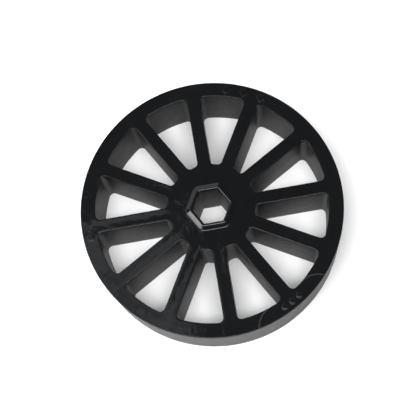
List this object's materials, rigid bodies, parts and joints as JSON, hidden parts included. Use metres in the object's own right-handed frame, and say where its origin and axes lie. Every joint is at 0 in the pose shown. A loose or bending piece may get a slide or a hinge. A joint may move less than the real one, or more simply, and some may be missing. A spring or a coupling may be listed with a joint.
{
  "type": "wheel",
  "caption": "Flexible moulded roller wheel with straight radial spokes, a plain rim tread and a hexagonal bore.",
  "frame": {"origin": "on the bore axis, in the plane of the lower face that the wheel lies on", "axes": "+Z along the bore axis towards the face with the raised bore lip; +X along spoke_01, spokes numbered anticlockwise seen from +Z"},
  "size_m": [0.1016, 0.1016, 0.0261],
  "materials": {
    "rubber": "smooth glossy black moulded elastomer with faint flow marks"
  },
  "bodies": {
    "root": {"rim_tread": "rubber", "spoke_01": "rubber", "spoke_02": "rubber", "spoke_03": "rubber", "spoke_04": "rubber", "spoke_05": "rubber", "spoke_06": "rubber", "spoke_07": "rubber", "spoke_08": "rubber", "spoke_09": "rubber", "spoke_10": "rubber", "spoke_11": "rubber", "spoke_12": "rubber", "hub_barrel": "rubber"}
  },
  "joints": []
}
